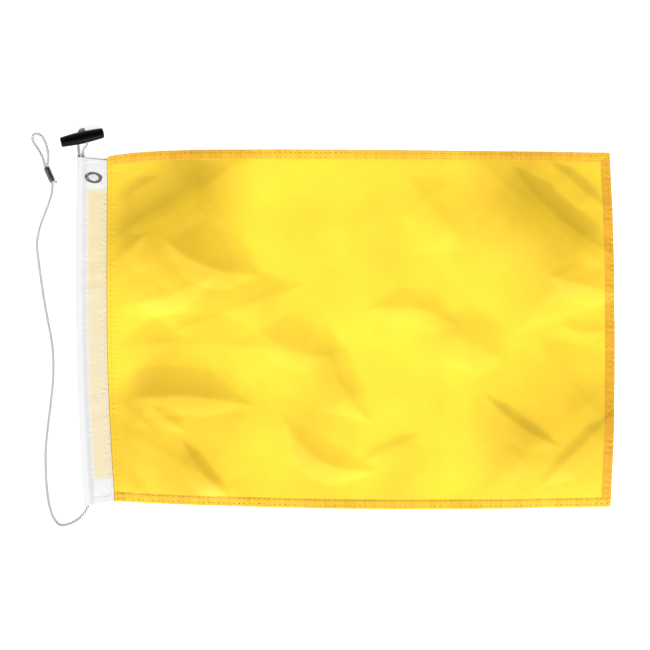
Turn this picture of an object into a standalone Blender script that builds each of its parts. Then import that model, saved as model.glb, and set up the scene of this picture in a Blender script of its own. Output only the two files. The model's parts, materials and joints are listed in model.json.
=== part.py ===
"""Small rope-and-toggle signal flag, lying flat as it would on a table.

Metres. +X runs from the heading to the fly, +Y towards the head of the hoist, and +Z up from
the surface that the flag lies on. The origin is under the middle of the flag and its toggle.
Cloth is drawn thicker than it is, so that every ply is a sound solid with a gap to the next.
"""
import math

import bmesh
import bpy
from mathutils import Matrix, Vector

COLLECTION = "signal_flag"

# Cloth, rope and thread
CLOTH = 0.0004
GAP = 0.0003
PLY = CLOTH + GAP
ROPE_RADIUS = 0.0015
STUB_RADIUS = 0.0012
THREAD_RADIUS = 0.00025

# Field: its four corners, and how far each edge bows outward between them
HEAD_HOIST = Vector((-0.1975, 0.1386))
HEAD_FLY = Vector((0.2325, 0.1428))
FOOT_FLY = Vector((0.2333, -0.1599))
FOOT_HOIST = Vector((-0.1910, -0.1556))
HEAD_BOW = 0.0058
FLY_BOW = 0.0039
FOOT_BOW = 0.0041
HOIST_BOW = 0.0034
HEM_WIDTH = 0.0080
HEM_STITCH = 0.0068

# The cloth hinges beside the heading, where the stiff seam ends
HINGE_X = -0.1885
HINGE_CLEARANCE = 0.0012
THREAD_CLEARANCE = 0.0060

# Heading: one strip folded round the rope, with its two edges stitched to the field
HEADING_WIDTH = 0.0264
HEADING_HEAD_Y = 0.1398
HEADING_FOOT_Y = -0.1591
HEADING_END_SLOPE = 0.095
SLEEVE_SEAM = 0.0100
SLEEVE_CREST = 0.0052
SLEEVE_TOP_Z = 0.0049
HEAD_TURN_IN = 0.0260
FOOT_TURN_IN = 0.0190
END_STITCH = 0.0060
HOIST_STITCHES = {"outer": 0.0248, "inner": 0.0222}

# Crimped ferrules: flat-sided sleeves that hold two strands of the rope
FERRULE_LENGTH = 0.0117
FERRULE_WIDTH = 0.0056
FERRULE_HEIGHT = 0.0032
FERRULE_WALL = 0.0005
CRIMPED_RADIUS = 0.00085
STRAND_OFFSET = 0.00105
BECKET_FERRULE_Y = 0.1270
BECKET_FERRULE_ACROSS = 0.0045
BECKET_STRAND_RADIUS = 0.0013
SLEEVE_ROPE_ACROSS = 0.0036
ROPE_CENTRE_Z = 0.0022
MOUTH_SPLAY = 0.0017
CRIMP_TAPER = 0.0012
EYE_FERRULE = Vector((-0.2468, 0.1244, 0.0017))
EYE_FERRULE_ANGLE = math.radians(23.7)

# Toggle: a turned barrel that lies over the strand behind it, with one end close to the surface
TOGGLE_LENGTH = 0.0373
TOGGLE_END_RADIUS = 0.0044
TOGGLE_MIDDLE_RADIUS = 0.0053
TOGGLE_CHAMFER = 0.0008
TOGGLE_CENTRE = Vector((-0.2180, 0.1553, 0.0081))
TOGGLE_TURN = math.radians(14)
TOGGLE_TILT = math.radians(11)
TOGGLE_HOLE_RADIUS = 0.0019
TOGGLE_HOLE_OFFSET = 0.0030
TOGGLE_HOLE_REACH = 0.0048

# Spacing of the places along each rope; the tighter it turns, the closer they are
BECKET_STEP = 0.0022
LOOP_STEP = 0.0045
ROOT_STEP = 0.0060
TAIL_STEP = 0.0070

# Joint axes, each of which stands on the middle of the rope
TOGGLE_PIVOT = Vector((-0.2199, 0.1411, 0.0022))
TAIL_PIVOT = Vector((-0.2334, -0.1760, 0.0015))
EYE_PIVOT = Vector((-0.2444, 0.1162, 0.0016))

# Rope routes, point by point along the middle of the rope; between its front and back,
# the becket runs straight through the toggle's hole
TAIL_ROOT_ROUTE = (
    (-0.2140, -0.1595, 0.0022), (-0.2150, -0.1625, 0.0020), (-0.2180, -0.1670, 0.0016),
    (-0.2225, -0.1710, 0.0015), (-0.2275, -0.1740, 0.0015), (-0.2315, -0.1755, 0.0015))
TAIL_ROUTE = (
    TAIL_PIVOT, (-0.2385, -0.1755, 0.0015), (-0.2430, -0.1705, 0.0015),
    (-0.2465, -0.1610, 0.0015), (-0.2490, -0.1460, 0.0015), (-0.2500, -0.1290, 0.0015),
    (-0.2500, -0.1110, 0.0015), (-0.2480, -0.0900, 0.0015), (-0.2455, -0.0700, 0.0015),
    (-0.2435, -0.0460, 0.0015), (-0.2445, -0.0220, 0.0015), (-0.2490, 0.0030, 0.0015),
    (-0.2530, 0.0270, 0.0015), (-0.2560, 0.0490, 0.0015), (-0.2575, 0.0650, 0.0015),
    (-0.2545, 0.0800, 0.0015), (-0.2490, 0.0950, 0.0015), (-0.2450, 0.1070, 0.0015),
    EYE_PIVOT)
EYE_ROUTE = (
    (-0.2480, 0.1350, 0.0016), (-0.2480, 0.1410, 0.0015), (-0.2490, 0.1470, 0.0015),
    (-0.2510, 0.1530, 0.0015), (-0.2540, 0.1575, 0.0015), (-0.2580, 0.1590, 0.0015),
    (-0.2610, 0.1570, 0.0015), (-0.2610, 0.1530, 0.0015), (-0.2585, 0.1485, 0.0015),
    (-0.2555, 0.1440, 0.0015), (-0.2530, 0.1390, 0.0015), (-0.2515, 0.1345, 0.0016))
BECKET_FRONT = (
    (-0.2180, 0.1425, 0.0022), (-0.2175, 0.1450, 0.0027), (-0.2155, 0.1475, 0.0045),
    (-0.2140, 0.1490, 0.0066))
BECKET_BACK = (
    (-0.2170, 0.1625, 0.0070), (-0.2185, 0.1625, 0.0055), (-0.2200, 0.1620, 0.0040),
    (-0.2210, 0.1605, 0.0027), (-0.2215, 0.1585, 0.0019), (-0.2220, 0.1555, 0.0015),
    (-0.2220, 0.1510, 0.0015), (-0.2220, 0.1465, 0.0016), (-0.2215, 0.1425, 0.0020))

YELLOW = (0.93, 0.68, 0.05)
ORANGE = (0.90, 0.47, 0.05)
WHITE = (0.88, 0.88, 0.88)
CREAM = (0.90, 0.82, 0.58)
ROPE_WHITE = (0.80, 0.80, 0.78)
BLACK = (0.006, 0.006, 0.007)
STEEL = (0.72, 0.73, 0.75)


# ---------------------------------------------------------------- scene helpers

def clear_scene():
    for obj in list(bpy.data.objects):
        bpy.data.objects.remove(obj, do_unlink=True)
    for collection in list(bpy.data.collections):
        bpy.data.collections.remove(collection)


def new_collection(name):
    collection = bpy.data.collections.new(name)
    bpy.context.scene.collection.children.link(collection)
    return collection


def material(name, colour, roughness, metallic=0.0):
    made = bpy.data.materials.new(name)
    made.use_nodes = True
    shader = made.node_tree.nodes["Principled BSDF"]
    shader.inputs["Base Color"].default_value = (*colour, 1.0)
    shader.inputs["Roughness"].default_value = roughness
    shader.inputs["Metallic"].default_value = metallic
    return made


def add_object(name, data, finish):
    """Link a new object to the flag's collection, with its own material."""
    obj = bpy.data.objects.new(name, data)
    data.materials.append(material(name, *finish))
    bpy.data.collections[COLLECTION].objects.link(obj)
    return obj


def add_pivot(name, place):
    """An empty on a joint's axis, which carries the pieces that turn with it."""
    pivot = bpy.data.objects.new(name, None)
    pivot.location = place
    pivot.empty_display_size = 0.01
    bpy.data.collections[COLLECTION].objects.link(pivot)
    return pivot


def carry(pivot, *pieces):
    bpy.context.view_layer.update()
    for piece in pieces:
        piece.parent = pivot
        piece.matrix_parent_inverse = pivot.matrix_world.inverted()


def mesh_from_bmesh(name, shape):
    mesh = bpy.data.meshes.new(name)
    shape.to_mesh(mesh)
    shape.free()
    return mesh


def shade_smooth(mesh, angle=math.radians(35)):
    mesh.shade_smooth()
    mesh.set_sharp_from_angle(angle=angle)


# ---------------------------------------------------------------- plan geometry

def bowed(start, end, outward, bow, skew, t):
    """A point on an edge that bows outward; a skew below 1 puts the fullest place near its start."""
    return start.lerp(end, t) + Vector(outward) * bow * math.sin(math.pi * t ** skew)


def head_edge(t):
    return bowed(HEAD_HOIST, HEAD_FLY, (0, 1), HEAD_BOW, 0.5, t)


def fly_edge(t):
    return bowed(HEAD_FLY, FOOT_FLY, (1, 0), FLY_BOW, 1.0, t)


def foot_edge(t):
    return bowed(FOOT_HOIST, FOOT_FLY, (0, -1), FOOT_BOW, 1.0, t)


def hoist_x(y):
    t = (HEAD_HOIST.y - y) / (HEAD_HOIST.y - FOOT_HOIST.y)
    t = min(max(t, 0.0), 1.0)
    return bowed(HEAD_HOIST, FOOT_HOIST, (-1, 0), HOIST_BOW, 1.2, t).x


def heading_point(across, along):
    """A place on the heading: metres across from its folded edge, 0 to 1 along from its head."""
    head_y = HEADING_HEAD_Y - HEADING_END_SLOPE * across
    foot_y = HEADING_FOOT_Y + HEADING_END_SLOPE * across
    y = head_y + (foot_y - head_y) * along
    return Vector((hoist_x(y) - HEADING_WIDTH + across, y))


def along_from_head(distance):
    return distance / (HEADING_HEAD_Y - HEADING_FOOT_Y)


def steps(first, last, count):
    """Evenly spaced values from first to last, both included."""
    return [first + (last - first) * i / (count - 1) for i in range(count)]


def edge_t(start, end, x):
    return (x - start.x) / (end.x - start.x)


# ---------------------------------------------------------------- shape builders

def sheet(name, outline, ply, finish):
    """A flat piece of cloth, on the given ply counted up from the surface."""
    curve = bpy.data.curves.new(name, "CURVE")
    curve.dimensions = "2D"
    curve.fill_mode = "BOTH"
    curve.extrude = CLOTH / 2
    spline = curve.splines.new("POLY")
    spline.points.add(len(outline) - 1)
    for point, place in zip(spline.points, outline):
        point.co = (place[0], place[1], 0.0, 1.0)
    spline.use_cyclic_u = True
    obj = add_object(name, curve, finish)
    obj.location.z = ply * PLY + CLOTH / 2
    return obj


def smooth_route(points, spacing):
    """Places at about the given spacing on a smooth curve through the points."""
    points = [Vector(p) for p in points]
    ends = [2 * points[0] - points[1]] + points + [2 * points[-1] - points[-2]]
    route = [points[0]]
    for before, start, end, after in zip(ends, ends[1:], ends[2:], ends[3:]):
        count = max(1, round((end - start).length / spacing))
        for i in range(1, count + 1):
            t = i / count
            route.append(0.5 * (2 * start + (end - before) * t
                                + (2 * before - 5 * start + 4 * end - after) * t ** 2
                                + (3 * start - before - 3 * end + after) * t ** 3))
    return route


def rounded_end(route, radius):
    """Route and radii whose first end is a half ball round the first point."""
    ahead = (route[1] - route[0]).normalized()
    places, radii = [], []
    for angle in (80, 55, 28):
        places.append(route[0] - ahead * radius * math.sin(math.radians(angle)))
        radii.append(radius * math.cos(math.radians(angle)))
    return places + route, radii + [radius] * len(route)


def tube(name, route, radii, finish):
    """A solid round cord whose middle follows the route."""
    curve = bpy.data.curves.new(name, "CURVE")
    curve.dimensions = "3D"
    curve.twist_mode = "MINIMUM"
    curve.bevel_depth = 1.0
    curve.bevel_resolution = 2
    curve.use_fill_caps = True
    spline = curve.splines.new("POLY")
    spline.points.add(len(route) - 1)
    for point, place, radius in zip(spline.points, route, radii):
        point.co = (*place, 1.0)
        point.radius = radius
    spline.use_smooth = True
    return add_object(name, curve, finish)


def rope(name, points, spacing, rounded=False):
    route = smooth_route(points, spacing)
    radii = [ROPE_RADIUS] * len(route)
    if rounded:
        route, radii = rounded_end(route, ROPE_RADIUS)
    return tube(name, route, radii, (ROPE_WHITE, 0.8))


def thread(name, places, z):
    route = [Vector((place[0], place[1], z)) for place in places]
    return tube(name, route, [THREAD_RADIUS] * len(route), (ORANGE, 0.6))


def ferrule(name, matrix):
    """An oval crimped sleeve, open right through, with its length along the matrix's Y."""
    curve = bpy.data.curves.new(name, "CURVE")
    curve.dimensions = "2D"
    curve.fill_mode = "BOTH"
    curve.extrude = FERRULE_LENGTH / 2
    for inset in (0.0, FERRULE_WALL):
        radius = FERRULE_HEIGHT / 2 - inset
        half_flat = (FERRULE_WIDTH - FERRULE_HEIGHT) / 2
        spline = curve.splines.new("POLY")
        places = []
        for side in (1, -1):
            for angle in steps(-90, 90, 7):
                turn = math.radians(angle)
                places.append((side * (half_flat + radius * math.cos(turn)),
                               side * radius * math.sin(turn)))
        spline.points.add(len(places) - 1)
        for point, place in zip(spline.points, places):
            point.co = (*place, 0.0, 1.0)
        spline.use_cyclic_u = True
    obj = add_object(name, curve, (STEEL, 0.15, 1.0))
    obj.matrix_world = matrix @ Matrix.Rotation(math.radians(90), 4, "X")
    return obj


# ---------------------------------------------------------------- field

def hem_outline(edge, first, last, inward, count=18):
    outer = [edge(t) for t in steps(first, last, count)]
    inner = [place + Vector(inward) * HEM_WIDTH for place in reversed(outer)]
    return outer + inner


def build_field():
    """The cloth on the fly side of the hinge, its three hems and their stitching."""
    start = HINGE_X + HINGE_CLEARANCE
    head_start = edge_t(HEAD_HOIST, HEAD_FLY, start)
    foot_start = edge_t(FOOT_HOIST, FOOT_FLY, start)
    outline = [head_edge(t) for t in steps(head_start, 1, 24)]
    outline += [fly_edge(t) for t in steps(0, 1, 14)][1:-1]
    outline += [foot_edge(t) for t in steps(1, foot_start, 24)]
    panel = sheet("field_panel", outline, 0, (YELLOW, 0.35))
    panel.data.materials[0].node_tree.nodes["Principled BSDF"].inputs["Sheen Weight"].default_value = 0.3

    hem = (HEM_WIDTH + GAP) / (HEAD_FLY.y - FOOT_FLY.y)
    hems = [
        sheet("head_hem", hem_outline(head_edge, head_start, 1, (0, -1)), 1, (ORANGE, 0.4)),
        sheet("foot_hem", hem_outline(foot_edge, foot_start, 1, (0, 1)), 1, (ORANGE, 0.4)),
        sheet("fly_hem", hem_outline(fly_edge, hem, 1 - hem, (-1, 0)), 1, (ORANGE, 0.4))]
    return [panel] + hems + build_hem_threads()


def build_hem_threads():
    first_x = HINGE_X + THREAD_CLEARANCE
    last_t = 1 - (HEM_STITCH - 2 * THREAD_RADIUS) / (HEAD_FLY.x - HEAD_HOIST.x)
    z = 2 * PLY + THREAD_RADIUS
    head = [head_edge(t) - Vector((0, HEM_STITCH))
            for t in steps(edge_t(HEAD_HOIST, HEAD_FLY, first_x), last_t, 24)]
    foot = [foot_edge(t) + Vector((0, HEM_STITCH))
            for t in steps(edge_t(FOOT_HOIST, FOOT_FLY, first_x), last_t, 24)]
    inset = (HEM_STITCH + 4 * THREAD_RADIUS) / (HEAD_FLY.y - FOOT_FLY.y)
    fly = [fly_edge(t) - Vector((HEM_STITCH, 0)) for t in steps(inset, 1 - inset, 16)]
    return [thread("head_hem_thread", head, z), thread("foot_hem_thread", foot, z),
            thread("fly_hem_thread", fly, z)]


# ---------------------------------------------------------------- heading

def front_ply_z(across):
    """Middle of the front ply: flat over the seam, rising in an S over the rope sleeve."""
    flat = 3 * PLY + CLOTH / 2
    if across >= SLEEVE_SEAM:
        return flat
    t = (SLEEVE_SEAM - across) / (SLEEVE_SEAM - SLEEVE_CREST)
    return flat + (SLEEVE_TOP_Z - flat) * t * t * (3 - 2 * t)


def heading_section():
    """Across and up places round the folded strip, from the front edge to the back edge."""
    edge = HEADING_WIDTH - CLOTH / 2
    section = [(edge, front_ply_z(edge))]
    section += [(across, front_ply_z(across)) for across in steps(SLEEVE_SEAM, SLEEVE_CREST, 7)]
    reach = SLEEVE_CREST - CLOTH / 2
    middle_z = (SLEEVE_TOP_Z + CLOTH / 2) / 2
    half_height = (SLEEVE_TOP_Z - CLOTH / 2) / 2
    for angle in steps(90, 270, 13)[1:]:
        turn = math.radians(angle)
        section.append((SLEEVE_CREST + reach * math.cos(turn), middle_z + half_height * math.sin(turn)))
    return section + [(edge, CLOTH / 2)]


def build_heading():
    """The folded strip: an open surface through its section, thickened to one ply."""
    shape = bmesh.new()
    rows = []
    for along in steps(0, 1, 25):
        row = []
        for across, z in heading_section():
            x, y = heading_point(across, along)
            row.append(shape.verts.new((x, y, z)))
        rows.append(row)
    for upper, lower in zip(rows, rows[1:]):
        for a, b, c, d in zip(upper, upper[1:], lower[1:], lower):
            shape.faces.new((a, b, c, d))
    mesh = mesh_from_bmesh("heading", shape)
    shade_smooth(mesh)
    obj = add_object("heading", mesh, (WHITE, 0.85))
    thicken = obj.modifiers.new("ply", "SOLIDIFY")
    thicken.thickness = CLOTH
    thicken.offset = 0.0
    thicken.use_even_offset = True
    return obj


def heading_band(first_across, last_across, first_along, last_along, count):
    """Outline of a flat band inside the heading."""
    near = [heading_point(first_across, along) for along in steps(first_along, last_along, count)]
    far = [heading_point(last_across, along) for along in steps(last_along, first_along, count)]
    return near + far


def build_heading_layers():
    """The field's raw edge and the two turned-in ends, between the plies of the heading."""
    inner = SLEEVE_SEAM + 0.0014
    outer = HEADING_WIDTH - 0.0006
    raw_edge = [heading_point(inner, along) for along in steps(0.994, 0.006, 20)]
    end_x = HINGE_X - HINGE_CLEARANCE
    head_y = head_edge(edge_t(HEAD_HOIST, HEAD_FLY, end_x)).y
    foot_y = foot_edge(max(edge_t(FOOT_HOIST, FOOT_FLY, end_x), 0.0)).y
    raw_edge += [Vector((end_x, y)) for y in steps(head_y, foot_y, 12)]
    sheet("hoist_allowance", raw_edge, 1, (CREAM, 0.6))
    head = along_from_head(HEAD_TURN_IN)
    sheet("head_turn_in", heading_band(inner, outer, 0.004, head, 4), 2, (WHITE, 0.85))
    foot = 1 - along_from_head(FOOT_TURN_IN)
    sheet("foot_turn_in", heading_band(inner, outer, foot, 0.996, 4), 2, (WHITE, 0.85))


def build_heading_threads():
    z = 4 * PLY + THREAD_RADIUS
    rows = {"sleeve_seam_thread": SLEEVE_SEAM}
    rows.update({f"hoist_seam_thread_{row}": across for row, across in HOIST_STITCHES.items()})
    for name, across in rows.items():
        thread(name, [heading_point(across, along) for along in steps(0.008, 0.992, 24)], z)
    stitch = along_from_head(END_STITCH)
    for name, along in {"head_end_thread": stitch, "foot_end_thread": 1 - stitch}.items():
        crossing = steps(SLEEVE_SEAM + 0.0012, HOIST_STITCHES["inner"] - 0.0012, 4)
        thread(name, [heading_point(across, along) for across in crossing], z)


# ---------------------------------------------------------------- rope and its fittings

def sleeve_places(across, first_y, last_y, count):
    return [(hoist_x(y) - HEADING_WIDTH + across, y, ROPE_CENTRE_Z)
            for y in steps(first_y, last_y, count)]


def build_sleeve_rope():
    """The rope inside the heading: up from the foot, through the ferrule, and its return strand."""
    crimp_end = FERRULE_LENGTH / 2 + CRIMP_TAPER
    low = BECKET_FERRULE_Y - crimp_end
    high = BECKET_FERRULE_Y + crimp_end
    right = BECKET_FERRULE_ACROSS + STRAND_OFFSET
    left = BECKET_FERRULE_ACROSS - STRAND_OFFSET
    mouth_y = HEADING_HEAD_Y

    up = sleeve_places(SLEEVE_ROPE_ACROSS, HEADING_FOOT_Y, low - 0.020, 28)
    up += sleeve_places(right, low, high, 6)
    up.append((TOGGLE_PIVOT.x + MOUTH_SPLAY, mouth_y, ROPE_CENTRE_Z))
    radii = [ROPE_RADIUS] * 28 + [CRIMPED_RADIUS] * 6 + [BECKET_STRAND_RADIUS]
    tube("sleeve_rope", [Vector(p) for p in up], radii, (ROPE_WHITE, 0.8))

    back = sleeve_places(left, low - 0.0005, high, 6)
    back.append((TOGGLE_PIVOT.x - MOUTH_SPLAY, mouth_y, ROPE_CENTRE_Z))
    radii = [CRIMPED_RADIUS] * 6 + [BECKET_STRAND_RADIUS]
    tube("becket_return", [Vector(p) for p in back], radii, (ROPE_WHITE, 0.8))

    middle_x = hoist_x(BECKET_FERRULE_Y) - HEADING_WIDTH + BECKET_FERRULE_ACROSS
    ferrule("becket_ferrule", Matrix.Translation((middle_x, BECKET_FERRULE_Y, ROPE_CENTRE_Z)))


def toggle_frame():
    """Axes of the toggle: Z along its length, Y along its rope hole."""
    length_axis = Vector((math.cos(TOGGLE_TURN) * math.cos(TOGGLE_TILT),
                          math.sin(TOGGLE_TURN) * math.cos(TOGGLE_TILT), -math.sin(TOGGLE_TILT)))
    hole_axis = Vector((-math.sin(TOGGLE_TURN), math.cos(TOGGLE_TURN), 0.0))
    side_axis = hole_axis.cross(length_axis)
    rotation = Matrix((side_axis, hole_axis, length_axis)).transposed().to_4x4()
    return Matrix.Translation(TOGGLE_CENTRE) @ rotation


def hole_places():
    """Places on the middle line of the toggle's rope hole, from its near mouth to its far one."""
    reaches = (-TOGGLE_HOLE_REACH, 0.0, TOGGLE_HOLE_REACH)
    return [toggle_frame() @ Vector((0.0, reach, TOGGLE_HOLE_OFFSET)) for reach in reaches]


def toggle_profile():
    """Outer side of the barrel, top to bottom, as radius and height."""
    half = TOGGLE_LENGTH / 2
    body = half - TOGGLE_CHAMFER
    swell = TOGGLE_MIDDLE_RADIUS - TOGGLE_END_RADIUS
    face = TOGGLE_END_RADIUS - TOGGLE_CHAMFER
    profile = [(0.0, half), (face, half)]
    profile += [(TOGGLE_END_RADIUS + swell * (1 - (z / body) ** 2), z) for z in steps(body, -body, 11)]
    return profile + [(face, -half), (0.0, -half)]


def build_toggle():
    """A turned barrel with a hole across its middle for the rope."""
    shape = bmesh.new()
    verts = [shape.verts.new((radius, 0.0, z)) for radius, z in toggle_profile()]
    for a, b in zip(verts, verts[1:]):
        shape.edges.new((a, b))
    obj = add_object("toggle", mesh_from_bmesh("toggle", shape), (BLACK, 0.15))
    obj.matrix_world = toggle_frame()
    turn = obj.modifiers.new("turn", "SCREW")
    turn.axis = "Z"
    turn.steps = 24
    turn.render_steps = 24
    turn.use_merge_vertices = True
    turn.merge_threshold = 0.00001
    turn.use_smooth_shade = True

    cutter = bmesh.new()
    bmesh.ops.create_cone(cutter, cap_ends=True, segments=16, radius1=TOGGLE_HOLE_RADIUS,
                          radius2=TOGGLE_HOLE_RADIUS, depth=4 * TOGGLE_MIDDLE_RADIUS)
    drill = bpy.data.objects.new("toggle_drill", mesh_from_bmesh("toggle_drill", cutter))
    drill.matrix_world = (toggle_frame() @ Matrix.Translation((0, 0, TOGGLE_HOLE_OFFSET))
                          @ Matrix.Rotation(math.radians(90), 4, "X"))
    drill.hide_render = True
    drill.display_type = "WIRE"
    bpy.data.collections["cutters"].objects.link(drill)
    cut = obj.modifiers.new("rope_hole", "BOOLEAN")
    cut.operation = "DIFFERENCE"
    cut.solver = "EXACT"
    cut.object = drill
    return obj


def eye_strand(side):
    """Bottom, middle and top places of one strand inside the eye's ferrule."""
    along = Vector((-math.sin(EYE_FERRULE_ANGLE), math.cos(EYE_FERRULE_ANGLE), 0.0))
    across = Vector((math.cos(EYE_FERRULE_ANGLE), math.sin(EYE_FERRULE_ANGLE), 0.0))
    reach = FERRULE_LENGTH / 2 + 0.0006
    return [EYE_FERRULE + across * side * STRAND_OFFSET + along * reach * end for end in (-1, 0, 1)]


def build_eye_rope():
    """One rope end: out of the ferrule, round the eye, back through it and just past its mouth."""
    own_end = eye_strand(1)
    main = eye_strand(-1)
    leave = (main[0] - EYE_PIVOT).normalized()
    loop = smooth_route([own_end[2] + Vector((0.0, 0.0012, 0.0)), *EYE_ROUTE,
                         main[2] + Vector((-0.0006, 0.0010, 0.0))], LOOP_STEP)
    tail_end = own_end[0] + Vector((0.0018, -0.0012, 0.0))
    stub_end = own_end[0] + Vector((0.0036, -0.0021, 0.0))
    root = EYE_PIVOT + leave * (ROPE_RADIUS + GAP)
    route = [stub_end, tail_end, *own_end, *loop, *reversed(main), root]
    radii = [STUB_RADIUS, STUB_RADIUS] + [CRIMPED_RADIUS] * 3 + [ROPE_RADIUS] * len(loop)
    radii += [CRIMPED_RADIUS] * 3 + [CRIMPED_RADIUS]
    return tube("eye_rope", route, radii, (ROPE_WHITE, 0.8))


def build_tail_and_eye():
    rope("tail_root", TAIL_ROOT_ROUTE, ROOT_STEP)
    tail = rope("tail_rope", TAIL_ROUTE, TAIL_STEP, rounded=True)
    carry(add_pivot("tail_pivot", TAIL_PIVOT), tail)
    eye_matrix = Matrix.Translation(EYE_FERRULE) @ Matrix.Rotation(EYE_FERRULE_ANGLE, 4, "Z")
    carry(add_pivot("eye_pivot", EYE_PIVOT), build_eye_rope(), ferrule("eye_ferrule", eye_matrix))


def main():
    clear_scene()
    new_collection(COLLECTION)
    new_collection("cutters")
    carry(add_pivot("field_pivot", (HINGE_X, 0, PLY + GAP)), *build_field())
    build_heading()
    build_heading_layers()
    build_heading_threads()
    build_sleeve_rope()
    becket = rope("becket", [*BECKET_FRONT, *hole_places(), *BECKET_BACK], BECKET_STEP)
    carry(add_pivot("toggle_pivot", TOGGLE_PIVOT), becket, build_toggle())
    build_tail_and_eye()


main()
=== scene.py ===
"""Looks for the rope-and-toggle signal flag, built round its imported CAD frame."""
import json
import math

import bpy
import numpy as np
from mathutils import Matrix, Vector


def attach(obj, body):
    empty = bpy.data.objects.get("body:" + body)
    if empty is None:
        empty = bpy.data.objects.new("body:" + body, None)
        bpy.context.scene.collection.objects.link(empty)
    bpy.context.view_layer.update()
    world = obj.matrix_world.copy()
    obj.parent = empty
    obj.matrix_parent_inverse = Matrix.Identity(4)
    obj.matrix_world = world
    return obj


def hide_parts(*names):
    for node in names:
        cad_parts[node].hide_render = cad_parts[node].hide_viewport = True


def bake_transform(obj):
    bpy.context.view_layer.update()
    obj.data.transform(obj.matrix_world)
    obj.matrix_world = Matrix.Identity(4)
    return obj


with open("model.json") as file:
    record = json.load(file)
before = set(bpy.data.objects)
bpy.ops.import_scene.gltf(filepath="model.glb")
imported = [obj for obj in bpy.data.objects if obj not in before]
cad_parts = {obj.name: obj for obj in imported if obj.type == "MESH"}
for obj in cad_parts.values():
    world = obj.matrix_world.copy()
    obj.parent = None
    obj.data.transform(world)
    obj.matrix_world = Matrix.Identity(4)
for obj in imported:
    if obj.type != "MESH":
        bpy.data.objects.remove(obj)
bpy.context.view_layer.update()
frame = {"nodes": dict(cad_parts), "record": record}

MM = 0.001

# ---- sizes, in metres

JOINTS = {joint["name"]: joint for joint in frame["record"]["behaviour"]["joints"]}
TAIL_PIVOT = Vector(JOINTS["tail_swing"]["pos_m"])
EYE_PIVOT = Vector(JOINTS["eye_swing"]["pos_m"])

CORD_D = 0.003
CORD_R = CORD_D / 2

# The flag's plan: its corners, and how far each edge bows outward
HEAD_HOIST = np.array((-0.1975, 0.1386))
HEAD_FLY = np.array((0.2325, 0.1428))
FOOT_FLY = np.array((0.2333, -0.1599))
FOOT_HOIST = np.array((-0.1910, -0.1556))
HEAD_BOW = 0.0058
FLY_BOW = 0.0039
FOOT_BOW = 0.0041
HOIST_BOW = 0.0034
HEM_WIDTH = 0.0078

# Heading: one strip folded round the rope and over the hoist edge of the field
HEADING_WIDTH = 0.0264
HEADING_HEAD_Y = 0.1398
HEADING_FOOT_Y = -0.1591
HEADING_END_SLOPE = 0.095
SLEEVE_SEAM = 0.0096
SLEEVE_CREST = 0.0050
SLEEVE_TOP_Z = 0.0043
FRONT_PLY_Z = 0.0023
FRONT_EDGE_Z = 0.0016
FIELD_PLY_Z = 0.0009
TAPE = 0.00036

# Crimped ferrule of the eye: an oval sleeve with pressed dents and rolled lips
EYE_FERRULE = Vector((-0.2468, 0.1244, 0.0017))
EYE_FERRULE_ANGLE = math.radians(23.7)
FERRULE_LENGTH = 0.0117
FERRULE_WIDTH = 0.0056
FERRULE_HEIGHT = 0.0032
FERRULE_WALL = 0.0004
DENT_PLACES = (-0.0033, 0, 0.0033)
DENT_REACH = 0.0009
DENT_DEPTH = 0.10
LIP_REACH = 0.0010
LIP_HEIGHT = 0.05
OVAL_POWER = 0.75

# The rope is pressed thin inside the ferrule, up to a short ramp past each end; rope that lies
# farther than the reach from its middle is left alone
PRESSED_RADIUS = 0.00115
PRESSED_RAMP = 0.0016
PRESSED_REACH = 0.02

# Toggle: the middle and the turns of its barrel, and the rope hole across it
TOGGLE_CENTRE = Vector((-0.2180, 0.1553, 0.0081))
TOGGLE_TURN = math.radians(14)
TOGGLE_TILT = math.radians(11)
TOGGLE_HOLE_OFFSET = 0.0030
TOGGLE_HOLE_REACH = 0.0048

# Routes of the cords, point by point along their middle, as in the CAD model
TAIL_INSIDE = (-0.2140, -0.1565, 0.0023)
TAIL_ROOT_ROUTE = (
    (-0.2140, -0.1595, 0.0022), (-0.2150, -0.1625, 0.0020), (-0.2180, -0.1670, 0.0016),
    (-0.2225, -0.1710, 0.0015), (-0.2275, -0.1740, 0.0015), (-0.2315, -0.1755, 0.0015))
TAIL_ROUTE = (
    TAIL_PIVOT, (-0.2385, -0.1755, 0.0015), (-0.2430, -0.1705, 0.0015),
    (-0.2465, -0.1610, 0.0015), (-0.2490, -0.1460, 0.0015), (-0.2500, -0.1290, 0.0015),
    (-0.2500, -0.1110, 0.0015), (-0.2480, -0.0900, 0.0015), (-0.2455, -0.0700, 0.0015),
    (-0.2435, -0.0460, 0.0015), (-0.2445, -0.0220, 0.0015), (-0.2490, 0.0030, 0.0015),
    (-0.2530, 0.0270, 0.0015), (-0.2560, 0.0490, 0.0015), (-0.2575, 0.0650, 0.0015),
    (-0.2545, 0.0800, 0.0015), (-0.2490, 0.0950, 0.0015), (-0.2450, 0.1070, 0.0015),
    EYE_PIVOT)
EYE_ROUTE = (
    (-0.2480, 0.1350, 0.0016), (-0.2480, 0.1410, 0.0015), (-0.2490, 0.1470, 0.0015),
    (-0.2510, 0.1530, 0.0015), (-0.2540, 0.1575, 0.0015), (-0.2580, 0.1590, 0.0015),
    (-0.2610, 0.1570, 0.0015), (-0.2610, 0.1530, 0.0015), (-0.2585, 0.1485, 0.0015),
    (-0.2555, 0.1440, 0.0015), (-0.2530, 0.1390, 0.0015), (-0.2515, 0.1345, 0.0016))
BECKET_INSIDE_FRONT = ((-0.2180, 0.1375, 0.0022), (-0.2180, 0.1400, 0.0022))
BECKET_FRONT = (
    (-0.2180, 0.1425, 0.0022), (-0.2175, 0.1450, 0.0027), (-0.2155, 0.1475, 0.0045),
    (-0.2140, 0.1490, 0.0066))
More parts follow.
